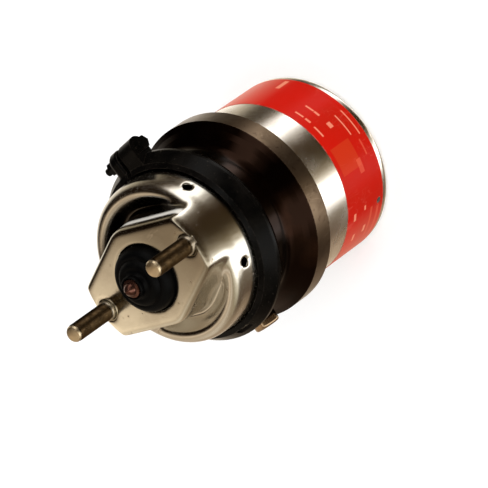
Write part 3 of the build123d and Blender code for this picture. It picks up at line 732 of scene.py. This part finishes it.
# The paler red below is a painted sheen, laid towards both ends of the foil.
painted_sheen_red = (0.90, 0.30, 0.19)
square_red = (0.50, 0.026, 0.005)
faint_red = (0.80, 0.16, 0.08)
pale_red = (0.88, 0.34, 0.20)
scratch_red = (0.85, 0.35, 0.25)
edge_red = (0.80, 0.50, 0.40)
upper_sheen_span = (48, 76)
lower_sheen_span = (-50, -76)

foil, tree, shader = new_material("red foil", 0.32)
angle = compass_degrees(tree)
# Painted sheen: the red grows paler towards both ends of the foil.
upper_painted_sheen = stretch(tree, angle, *upper_sheen_span, 0, 0.34)
lower_painted_sheen = stretch(tree, angle, *lower_sheen_span, 0, 0.28)
faded = use(tree, stain, Scale=25, From=0.4, To=0.75)
rubbed = use(tree, edge_wear, Width=0.8 * mm, Breakup=180)
marks = use(tree, scratches, Scale=150, Width=0.01)
colour = blend_colours(tree, faded, deep_red, faded_red)
colour = blend_colours(tree, calc(tree, "ADD", upper_painted_sheen, lower_painted_sheen), colour, painted_sheen_red)
colour = paint(tree, colour, square_red, place_field(tree, *square_field))
for span in faint_fields:
    colour = paint(tree, colour, faint_red, place_field(tree, *span), 0.3)
for span in pale_fields:
    colour = paint(tree, colour, pale_red, place_field(tree, *span), 0.6)
colour = paint(tree, colour, scratch_red, marks, 0.08)
colour = paint(tree, colour, edge_red, rubbed, 0.3)
wire(tree, colour, shader["Base Color"])
shader["Specular IOR Level"].default_value = 0.03
shader["Coat Weight"].default_value = 0.04
shader["Coat Roughness"].default_value = 0.15
give(foil, "label_foil")

# %% [markdown]
# Rubber is matt black with a pebbled skin, and dust greys it a little. Black hides its colour, so the
# dull sheen and the skin are what tell rubber from paint.

# %% Finish: rubber
fresh_rubber = (0.0010, 0.0010, 0.0011)
dusty_rubber = (0.005, 0.0045, 0.004)

rubber, tree, shader = new_material("black rubber", 0.5)
shader["Specular IOR Level"].default_value = 0.04
dusty = use(tree, stain, Scale=90, From=0.45, To=0.75)
wire(tree, paint(tree, fresh_rubber, dusty_rubber, dusty, 0.5), shader["Base Color"])
wire(tree, stretch(tree, dusty, 0, 1, 0.42, 0.7), shader["Roughness"])
press(tree, shader, use(tree, pebbled_skin, Scale=1200), 0.3, 0.1 * mm)
give(rubber, "rubber_boot", "diaphragm", "tube_seals", "cylinder_seal", "piston_seal", "bolt_seal")

# %% [markdown]
# The studs are steel under a dark bronze plating. The last few millimetres of a stud are bare and beige,
# its collar is paler, and the thread's crests are rubbed. The changes along a stud are set by the height,
# which is simpler than a material for each stretch.

# %% Finish: bronze plating
stud_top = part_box("mounting_studs")[1].z
bare_from = stud_top - 3.4 * mm
collar_top = pad_height + 2.6 * mm
bronze_dark = (0.060, 0.037, 0.017)
bronze_grimy = (0.026, 0.015, 0.006)
crest_bright = (0.30, 0.23, 0.15)
bare_beige = (0.50, 0.41, 0.28)
collar_tone = (0.38, 0.33, 0.26)

bronze, tree, shader = new_material("bronze plating", 0.34, 1.0)
height = own_numbers(tree)["Z"]
at_end = stretch(tree, height, bare_from, bare_from + 1.5 * mm)
at_collar = calc(tree, "LESS_THAN", height, collar_top)
grime = use(tree, stain, Scale=180, From=0.4, To=0.65)
crests = use(tree, edge_wear, Width=0.3 * mm, Breakup=500)
colour = blend_colours(tree, grime, bronze_dark, bronze_grimy)
colour = paint(tree, colour, crest_bright, crests, 0.3)
colour = paint(tree, colour, bare_beige, at_end)
colour = paint(tree, colour, collar_tone, at_collar)
wire(tree, colour, shader["Base Color"])
wire(tree, stretch(tree, grime, 0, 1, 0.3, 0.48), shader["Roughness"])
press(tree, shader, use(tree, pebbled_skin, Scale=900), 0.2, 0.08 * mm)
print("bare from", round(bare_from / mm, 1), "to", round(stud_top / mm, 1), "mm")

# %% [markdown]
# The rod is stained steel, and its small domed end is reddish brown with rust. The change lies at one
# height, so a narrow stretch of the height is the mask.

# %% Finish: rusty rod
dome_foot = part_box("pushrod")[1].z - 11 * mm
dome_rust = (0.11, 0.048, 0.034)
dome_deep_rust = (0.045, 0.014, 0.008)
rod_bright = (0.42, 0.39, 0.35)
rod_stained = (0.22, 0.18, 0.14)

rod_finish, tree, shader = new_material("rusty rod", 0.36, 0.85)
on_dome = stretch(tree, own_numbers(tree)["Z"], dome_foot - 0.5 * mm, dome_foot + 0.5 * mm)
rust = use(tree, stain, Scale=260, From=0.38, To=0.62)
rusty = blend_colours(tree, rust, dome_rust, dome_deep_rust)
plain = blend_colours(tree, rust, rod_bright, rod_stained)
wire(tree, blend_colours(tree, on_dome, plain, rusty), shader["Base Color"])
wire(tree, stretch(tree, rust, 0, 1, 0.16, 0.36), shader["Roughness"])
press(tree, shader, use(tree, pebbled_skin, Scale=900), 0.2, 0.08 * mm)
give(rod_finish, "pushrod")

# %% [markdown]
# The pieces inside don't show in the photograph, but each gets a true finish. The first is plain turned
# steel, for the tube, the plates, the nut and the bolt: the aluminium's masks again, in steel's colours.

# %% Finish: plain steel
steel_bright = (0.56, 0.55, 0.53)
steel_dull = (0.40, 0.37, 0.33)
steel_rubbed = (0.75, 0.74, 0.72)

steel, tree, shader = new_material("plain steel", 0.3, 1.0)
dull = use(tree, stain, Scale=50, From=0.45, To=0.7)
worn = use(tree, edge_wear, Width=0.6 * mm, Breakup=300)
colour = blend_colours(tree, dull, steel_bright, steel_dull)
wire(tree, paint(tree, colour, steel_rubbed, worn, 0.5), shader["Base Color"])
wire(tree, stretch(tree, dull, 0, 1, 0.26, 0.4), shader["Roughness"])
press(tree, shader, use(tree, turned_rings, Fineness=1800), 0.2, 0.05 * mm)
give(steel, "boot_retainer", "push_plate", "piston_tube", "release_nut", "release_bolt",
     "bolt_thrust_washer", "spring_seat")

# %% [markdown]
# Springs and spring rings are steel under a thin dark coat, which has flaked off in small spots. The
# guides and plugs are moulded plastic, dark grey and slightly mottled.

# %% Finishes: spring steel and plastic
coat_black = (0.030, 0.032, 0.036)
flake_brown = (0.20, 0.16, 0.13)
plastic_dark = (0.05, 0.048, 0.044)
plastic_grey = (0.075, 0.070, 0.062)

spring_steel, tree, shader = new_material("coated spring steel", 0.35, 0.3)
flaked = use(tree, stain, Scale=200, From=0.62, To=0.68)
wire(tree, paint(tree, coat_black, flake_brown, flaked, 0.6), shader["Base Color"])
press(tree, shader, use(tree, pebbled_skin, Scale=600), 0.15, 0.1 * mm)
give(spring_steel, "retaining_ring", "bolt_lock_ring")

moulded, tree, shader = new_material("moulded plastic", 0.45)
greyed = use(tree, stain, Scale=70, From=0.4, To=0.7)
wire(tree, blend_colours(tree, greyed, plastic_dark, plastic_grey), shader["Base Color"])
press(tree, shader, use(tree, pebbled_skin, Scale=1500), 0.15, 0.05 * mm)
give(moulded, "tube_bush", "piston_guide", "tube_end_plug", "vent_plug")

# %% [markdown]
# Round pieces are made as on a lathe: a circle is added, and then extruded and scaled from point to
# point of an outline of radius and height. An outline that ends where it began, or on the axis at both
# ends, gives a closed piece once the doubled points are merged. A Screw modifier would turn an outline
# too, but the steps by hand show what a lathe does. Two small helpers come first: one selects a piece
# alone, and one names a piece and its mesh.

# %% Lathe helper
axis_radius = 1e-6


def only(piece):
    """Selects one piece alone and makes it the active one."""
    bpy.ops.object.select_all(action="DESELECT")
    piece.select_set(True)
    bpy.context.view_layer.objects.active = piece


def name_piece(piece, name):
    """Names a piece and its mesh."""
    piece.name = name
    piece.data.name = name


def turned_piece(name, outline, sides):
    """A round piece about the Z axis, from an outline in metres."""
    bpy.ops.object.select_all(action="DESELECT")
    radius, height = outline[0]
    start_radius = max(radius, axis_radius)
    bpy.ops.mesh.primitive_circle_add(vertices=sides, radius=start_radius, location=(0, 0, height))
    piece = bpy.context.object
    name_piece(piece, name)
    bpy.ops.object.mode_set(mode="EDIT")
    bpy.ops.mesh.select_all(action="SELECT")
    for next_radius, next_height in outline[1:]:
        growth = max(next_radius, axis_radius) / max(radius, axis_radius)
        bpy.ops.mesh.extrude_edges_move(TRANSFORM_OT_translate={"value": (0, 0, next_height - height)})
        bpy.ops.transform.resize(value=(growth, growth, 1), center_override=(0, 0, next_height))
        radius, height = next_radius, next_height
    bpy.ops.mesh.select_all(action="SELECT")
    bpy.ops.mesh.remove_doubles(threshold=5 * axis_radius)
    bpy.ops.mesh.normals_make_consistent(inside=False)
    bpy.ops.object.mode_set(mode="OBJECT")
    bpy.ops.object.transform_apply(location=True, rotation=True, scale=True)
    return piece


# %% [markdown]
# Every new piece is finished in the same way. Its modifiers are applied in their order, so that the mesh
# holds its final shape, it gets its material, and it is shaded smooth except at its sharp edges.

# %% Finishing helpers
def finish(piece, material, smooth_angle=40):
    """Gives a new piece its material and smooth shading, and prints its size."""
    piece.data.materials.clear()
    piece.data.materials.append(material)
    only(piece)
    bpy.ops.object.shade_smooth_by_angle(angle=radians(smooth_angle))
    faces = len(piece.data.polygons)
    print(piece.name, faces, "faces", [round(v / mm, 1) for v in piece.dimensions], "mm")


def apply_modifiers(piece):
    """Applies a piece's modifiers in their order."""
    only(piece)
    for modifier in list(piece.modifiers):
        bpy.ops.object.modifier_apply(modifier=modifier.name)


# %% [markdown]
# Threads and springs are coils: a small circle stands upright beside the axis, and the Screw modifier
# winds it round and upwards. Its two open ends are then filled, and a plane may cut them flat. A curve
# with a round bevel would give the wire as well, but not a thread's flattened section.

# %% Coil helpers
def ring_section(name, sides, radius, distance, height, flatten=1.0):
    """A small circle that stands upright beside the axis: the section of a wire or a thread."""
    bpy.ops.object.select_all(action="DESELECT")
    bpy.ops.mesh.primitive_circle_add(vertices=sides, radius=radius, location=(distance, 0, height),
                                      rotation=(pi / 2, 0, 0))
    piece = bpy.context.object
    name_piece(piece, name)
    piece.scale.y = flatten
    bpy.ops.object.transform_apply(location=True, rotation=True, scale=True)
    return piece


def wind(piece, turns, rise, steps_a_turn, bottom=None, top=None):
    """Winds a section round the Z axis as a coil, fills its ends, and may cut them flat."""
    screw = piece.modifiers.new("coil", "SCREW")
    screw.axis = "Z"
    screw.angle = 2 * pi * turns
    screw.screw_offset = rise
    screw.steps = int(steps_a_turn * turns)
    screw.render_steps = screw.steps
    apply_modifiers(piece)
    bpy.ops.object.mode_set(mode="EDIT")
    bpy.ops.mesh.select_all(action="SELECT")
    bpy.ops.mesh.fill_holes(sides=0)
    bpy.ops.mesh.normals_make_consistent(inside=False)
    for height, upper in ((bottom, False), (top, True)):
        if height is not None:
            bpy.ops.mesh.select_all(action="SELECT")
            bpy.ops.mesh.bisect(plane_co=(0, 0, height), plane_no=(0, 0, 1), use_fill=True,
                                clear_outer=upper, clear_inner=not upper)
    bpy.ops.object.mode_set(mode="OBJECT")


# %% [markdown]
# The two studs carry a fine thread with 1.5 mm pitch. A stud is turned: a head inside the housing with
# one flat side, a collar that stands out of the pad, the thread's root and a chamfered end. The thread
# is a small square, stood on its corner and flattened, and wound round the root.

# %% Stud sizes
stud_offset = 60.325 * mm
thread_pitch = 1.5 * mm
thread_depth = 0.8 * mm
thread_flatness = 0.85
root_radius = 7.15 * mm
collar_radius = 8.8 * mm
neck_radius = 7.6 * mm
end_radius = 6.2 * mm
head_radius = 12.4 * mm
head_height = 5.0 * mm
head_flat = 4.5 * mm
inner_wall = pad_height - 3.0 * mm
thread_start = pad_height + 4.2 * mm
thread_turns = int((stud_top - 2.4 * mm - thread_start) / thread_pitch)
print("stud offset", round(stud_offset / mm, 2), "mm, pad height", round(pad_height / mm, 1), "mm")
print("thread turns", thread_turns)

# %% [markdown]
# The core and the head are turned, and a plane cuts the head's flat side. The core reaches a little into
# the head and the thread a little into the core, so the three meshes can simply be joined into one.

# %% One stud
stud = turned_piece("stud_core", (
    (0, inner_wall - 1.0 * mm),
    (collar_radius, inner_wall - 1.0 * mm),
    (collar_radius, pad_height + 2.0 * mm),
    (collar_radius - 0.5 * mm, pad_height + 2.5 * mm),
    (neck_radius, pad_height + 2.5 * mm),
    (root_radius, pad_height + 3.2 * mm),
    (root_radius, stud_top - 2.2 * mm),
    (neck_radius - 0.1 * mm, stud_top - 1.6 * mm),
    (end_radius + 0.4 * mm, stud_top - 0.2 * mm),
    (end_radius, stud_top),
    (0, stud_top),
), sides=48)
head = turned_piece("stud_head", (
    (0, inner_wall - head_height),
    (head_radius - 0.8 * mm, inner_wall - head_height),
    (head_radius, inner_wall - head_height + 0.8 * mm),
    (head_radius, inner_wall - 0.2 * mm),
    (0, inner_wall - 0.2 * mm),
), sides=48)
bpy.ops.object.mode_set(mode="EDIT")
bpy.ops.mesh.select_all(action="SELECT")
bpy.ops.mesh.bisect(plane_co=(head_flat, 0, 0), plane_no=(1, 0, 0), use_fill=True, clear_outer=True)
bpy.ops.object.mode_set(mode="OBJECT")
thread = ring_section("stud_thread", 4, thread_depth, root_radius, thread_start, thread_flatness)
wind(thread, thread_turns, thread_turns * thread_pitch, steps_a_turn=36)
only(stud)
head.select_set(True)
thread.select_set(True)
bpy.ops.object.join()
print("one stud", len(stud.data.polygons), "faces")

# %% [markdown]
# The finished stud is moved to its place, copied with its own mesh, and the copy is turned half round
# the part's axis, so that both heads have their flat sides outwards. Both are one node in the CAD model.

# %% Both studs
name_piece(stud, "stud_right")
stud.location.x = stud_offset
bpy.ops.object.transform_apply(location=True, rotation=True, scale=True)
bpy.ops.object.duplicate()
left_stud = bpy.context.object
name_piece(left_stud, "stud_left")
left_stud.rotation_euler.z = pi
bpy.ops.object.transform_apply(location=True, rotation=True, scale=True)
for piece in (stud, left_stud):
    finish(piece, bronze, smooth_angle=30)
    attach(piece, "housing")
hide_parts("mounting_studs")

# %% [markdown]
# The boot is moulded rubber. Its rim is held behind the housing's front wall, it comes up through the
# hole, steps inwards in two soft folds and ends in a neck with a bead on the rod. A single sheet is
# turned, then given its thickness, and subdivided so that the folds are round. On the real part, when the
# rod moves out, the rim stays with the housing, the neck goes with the rod and what is between them
# stretches; here the whole boot is fixed to the housing.

# %% Boot outline
boot_outline = (
    (35.4, -4.0),
    (29.6, -4.0),
    (28.2, -2.6),
    (28.1, 1.5),
    (27.7, 5.2),
    (25.6, 8.2),
    (22.8, 9.0),
    (21.2, 8.6),
    (20.0, 9.2),
    (19.2, 11.2),
    (17.4, 12.8),
    (14.8, 13.0),
    (12.6, 12.8),
    (10.6, 14.0),
    (9.2, 15.6),
    (9.2, 18.6),
    (9.9, 19.4),
    (9.9, 20.6),
    (9.1, 21.2),
)
boot_places = [(radius * mm, pad_height + height * mm) for radius, height in boot_outline]
print("boot outline", len(boot_places), "points")

# %% [markdown]
# Solidify gives the sheet its wall, half to each side, and Subdivision Surface rounds all its corners.

# %% Boot
boot_wall = 1.8 * mm
boot = turned_piece("boot_folds", boot_places, sides=64)
wall = boot.modifiers.new("wall", "SOLIDIFY")
wall.thickness = boot_wall
wall.offset = 0
rounding = boot.modifiers.new("rounding", "SUBSURF")
rounding.levels = 2
rounding.render_levels = 2
apply_modifiers(boot)
finish(boot, rubber, smooth_angle=60)
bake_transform(boot)
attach(boot, "housing")
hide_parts("rubber_boot")

# %% [markdown]
# The diaphragm is a rubber cup. Its bead is clamped between the two flanges, its wall folds down to the
# push plate's edge, and its flat middle lies between the plate and the dividing wall. On the real part the
# middle goes with the rod, so the cup turns inside out over the stroke; here the cup is fixed to the
# housing.

# %% Diaphragm outline
cup_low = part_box("diaphragm")[0].z
joint = 22.6
middle = 3.2
cup_outline = (
    (0, 0),
    (41.5, 0),
    (43.6, 1.4),
    (45.2, 9.5),
    (51.0, 14.5),
    (60.0, 19.6),
    (67.0, joint),
    (83.8, joint),
    (83.8, joint + 1.2),
    (81.4, joint + 1.2),
    (77.2, joint + 8.4),
    (74.4, joint + 8.0),
    (73.4, joint + 3.2),
    (66.0, joint + 3.2),
    (58.6, 22.7),
    (48.7, 17.6),
    (42.6, 11.4),
    (41.5, 4.6),
    (40.2, middle),
    (0, middle),
)
cup_places = [(radius * mm, cup_low + height * mm) for radius, height in cup_outline]
print("cup outline", len(cup_places), "points from", round(cup_low / mm, 1), "mm up")

# %% [markdown]
# The outline runs out along the cup's rear side and back along its front side, so the turned cup has its
# thickness already.

# %% Diaphragm
cup = turned_piece("diaphragm_cup", cup_places, sides=96)
finish(cup, rubber, smooth_angle=50)
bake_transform(cup)
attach(cup, "housing")
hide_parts("diaphragm")

# %% [markdown]
# The power spring holds the parking brake on. It is a thick round wire in four turns, with its ends cut
# flat where they were ground. On the real part it stretches evenly between its two ends as the piston
# moves; here it is fixed to the housing.

# %% Power spring
power_low, power_high = [corner.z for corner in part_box("power_spring")]
power_wire = 5.0 * mm
power_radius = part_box("power_spring")[1].x - power_wire
power_turns = 4
ground = 2.5 * mm
power_rise = power_high - power_low - 2 * (power_wire - ground)
power_start = power_low + power_wire - ground
power_coil = ring_section("power_coil", 16, power_wire, power_radius, power_start)
wind(power_coil, power_turns, power_rise, steps_a_turn=64, bottom=power_low, top=power_high)
finish(power_coil, spring_steel)
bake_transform(power_coil)
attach(power_coil, "housing")
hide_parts("power_spring")

# %% [markdown]
# The return spring is lighter and stands between the push plate and the boot's retainer. On the real part
# it is pressed together as the rod moves out; here it is fixed to the housing. It is wound in the same
# way, with a thinner wire and uncut ends.

# %% Return spring
return_low, return_high = [corner.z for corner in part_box("return_spring")]
return_wire = 2.25 * mm
return_radius = 32 * mm
return_turns = 5.5
return_rise = return_high - return_low - 2 * return_wire
return_coil = ring_section("return_coil", 12, return_wire, return_radius, return_low + return_wire)
wind(return_coil, return_turns, return_rise, steps_a_turn=56)
finish(return_coil, spring_steel)
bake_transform(return_coil)
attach(return_coil, "housing")
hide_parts("return_spring")

# %% [markdown]
# A press can't draw a sharp inner corner, so on the real housing the raised pad flows into the bowl. The
# CAD node has the right shape but sharp corners. A bevel needs a clean edge between two whole faces, and
# a CAD node is many thin triangles. So a copy of the node is merged and remeshed into small even faces,
# which can be smoothed.

# %% Even faces for the housing
face_size = 1.25 * mm


def node_copy(node, name):
    """A copy of a CAD node's mesh, merged, as a piece of its own."""
    only(nodes[node])
    bpy.ops.object.duplicate()
    piece = bpy.context.object
    name_piece(piece, name)
    piece.parent = None
    piece.matrix_world = Matrix.Identity(4)
    bpy.ops.object.mode_set(mode="EDIT")
    bpy.ops.mesh.select_all(action="SELECT")
    bpy.ops.mesh.remove_doubles(threshold=0.01 * mm)
    bpy.ops.object.mode_set(mode="OBJECT")
    return piece


pressed = node_copy("front_housing", "pressed_housing")
even_faces = pressed.modifiers.new("even faces", "REMESH")
even_faces.mode = "VOXEL"
even_faces.voxel_size = face_size
apply_modifiers(pressed)
print("housing", len(pressed.data.polygons), "even faces")

# %% [markdown]
# How much a place is smoothed is a weight on its points: strong where the pad rises out of the bowl, and
# less along the pad's bent edge. The vent holes, the boot's hole and the studs' holes keep their edges,
# so the weights fade out before them.

# %% Where the housing is smoothed
draw_foot = pad_height - 36 * mm
draw_edge = pad_height - 5 * mm
bend_foot = pad_height - 12 * mm
boot_hole_edge = 32 * mm
stud_hole_edge = 9.5 * mm
draw_fade = 6 * mm
bend_fade = 4 * mm
boot_fade = 3 * mm
stud_fade = 3.5 * mm


def draw_weight(point):
    """Full between the bowl's side and the pad's edge, and fading to nothing at both."""
    above_foot = (point.z - draw_foot) / draw_fade
    below_edge = (draw_edge - point.z) / draw_fade
    return max(0.0, min(1.0, above_foot, below_edge))


def bend_weight(point):
    """Full along the pad's outer edge, and nothing round the boot's hole and the studs' holes."""
    near_top = (point.z - bend_foot) / bend_fade
    off_boot = (point.xy.length - boot_hole_edge) / boot_fade
    off_stud = (Vector((abs(point.x) - stud_offset, point.y)).length - stud_hole_edge) / stud_fade
    return max(0.0, min(1.0, near_top, off_boot, off_stud))


for name, weight_at in (("drawn", draw_weight), ("bent", bend_weight)):
    group = pressed.vertex_groups.new(name=name)
    weighed = 0
    for vertex in pressed.data.vertices:
        weight = weight_at(vertex.co)
        if weight > 0:
            group.add([vertex.index], weight, "REPLACE")
            weighed += 1
    print(name, weighed, "points")

# %% [markdown]
# Four passes of the Smooth modifier follow: a light one all over that clears the remesh's steps, a long
# one where the metal was drawn, a shorter one where it was bent, and a last light one all over.

# %% Pressed housing
passes = (
    ("light", 5, ""),
    ("drawn", 70, "drawn"),
    ("bent", 16, "bent"),
    ("last", 2, ""),
)
for name, iterations, group_name in passes:
    smoothing = pressed.modifiers.new(name, "SMOOTH")
    smoothing.factor = 0.5
    smoothing.iterations = iterations
    smoothing.vertex_group = group_name
apply_modifiers(pressed)
finish(pressed, plating, smooth_angle=60)
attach(pressed, "housing")
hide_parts("front_housing")
